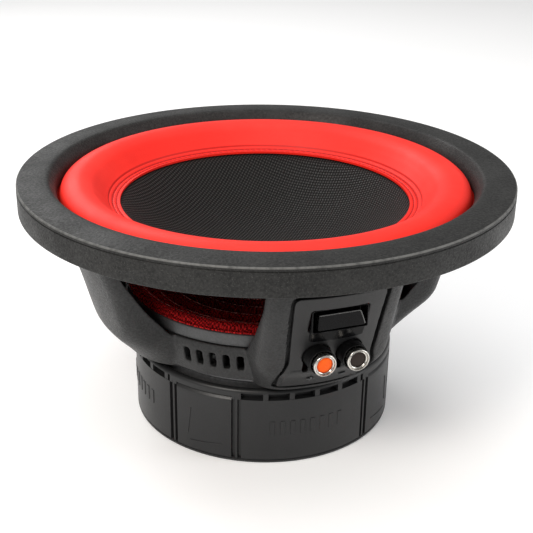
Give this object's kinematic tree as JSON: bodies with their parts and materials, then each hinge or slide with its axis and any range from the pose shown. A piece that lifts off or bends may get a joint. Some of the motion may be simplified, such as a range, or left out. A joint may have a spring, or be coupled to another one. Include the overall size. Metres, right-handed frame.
{
  "type": "car subwoofer speaker",
  "caption": "Round car subwoofer loudspeaker: rubber trim ring, wide half-roll surround, woven concave cone, open four-arm basket, push terminals and a rubber magnet boot.",
  "frame": {"origin": "centre of the speaker's base, on the underside of the magnet boot", "axes": "+Z along the coil axis toward the front of the cone; -Y toward the terminal panel; +X to the right seen from the terminal side"},
  "size_m": [0.27, 0.27, 0.1439],
  "materials": {
    "trim_rubber": "matte, finely grained",
    "red_surround": "satin foam rubber",
    "woven_cone": "woven fibre, satin",
    "cone_paper": "matte pressed pulp",
    "basket_paint": "satin textured powder coat",
    "ring_grey": "satin",
    "spider_cloth": "resin-treated woven cloth, matte",
    "zinc_steel": "zinc plated",
    "ferrite": "matte",
    "former_aluminium": "satin",
    "copper_wire": "enamelled copper",
    "boot_rubber": "satin moulded rubber",
    "panel_plastic": "satin",
    "gloss_black": "gloss",
    "body_plastic": "satin",
    "chrome": "polished",
    "orange_insert": "satin",
    "dark_insert": "satin",
    "spring_steel": "bright",
    "contact_brass": "bright",
    "lead_braid": "tinsel braid"
  },
  "bodies": {
    "frame": {"trim_ring": "trim_rubber", "basket": "basket_paint", "surround": "red_surround", "spider": "spider_cloth", "spider_ring": "ring_grey", "yoke": "zinc_steel", "magnet_lower": "ferrite", "magnet_upper": "ferrite", "top_plate": "zinc_steel", "magnet_boot": "boot_rubber", "terminal_panel": "panel_plastic", "recess_block": "gloss_black", "basket_screw_1": "zinc_steel", "basket_screw_2": "zinc_steel", "basket_screw_3": "zinc_steel", "basket_screw_4": "zinc_steel", "terminal_body_left": "body_plastic", "push_spring_left": "spring_steel", "contact_pin_left": "contact_brass", "solder_lug_left": "contact_brass", "tinsel_lead_left": "lead_braid", "terminal_body_right": "body_plastic", "push_spring_right": "spring_steel", "contact_pin_right": "contact_brass", "solder_lug_right": "contact_brass", "tinsel_lead_right": "lead_braid"},
    "diaphragm": {"woven_dish": "woven_cone", "cone_body": "cone_paper", "coil_former": "former_aluminium", "voice_coil": "copper_wire"},
    "push_left": {"push_ring_left": "chrome", "push_insert_left": "orange_insert"},
    "push_right": {"push_ring_right": "chrome", "push_insert_right": "dark_insert"}
  },
  "joints": [
    {"name": "cone_travel", "type": "slide", "parent": "frame", "child": "diaphragm", "axis": [0, 0, 1], "range_m": [-0.01, 0.01], "stiffness_N_per_m": 6000, "springref_m": 0.0003, "deforming": ["surround", "spider", "tinsel_lead_left", "tinsel_lead_right"]},
    {"name": "push_left_travel", "type": "slide", "parent": "frame", "child": "push_left", "axis": [0, 1, 0], "range_m": [0, 0.003], "stiffness_N_per_m": 400, "deforming": ["push_spring_left"]},
    {"name": "push_right_travel", "type": "slide", "parent": "frame", "child": "push_right", "axis": [0, 1, 0], "range_m": [0, 0.003], "stiffness_N_per_m": 400, "deforming": ["push_spring_right"]}
  ]
}
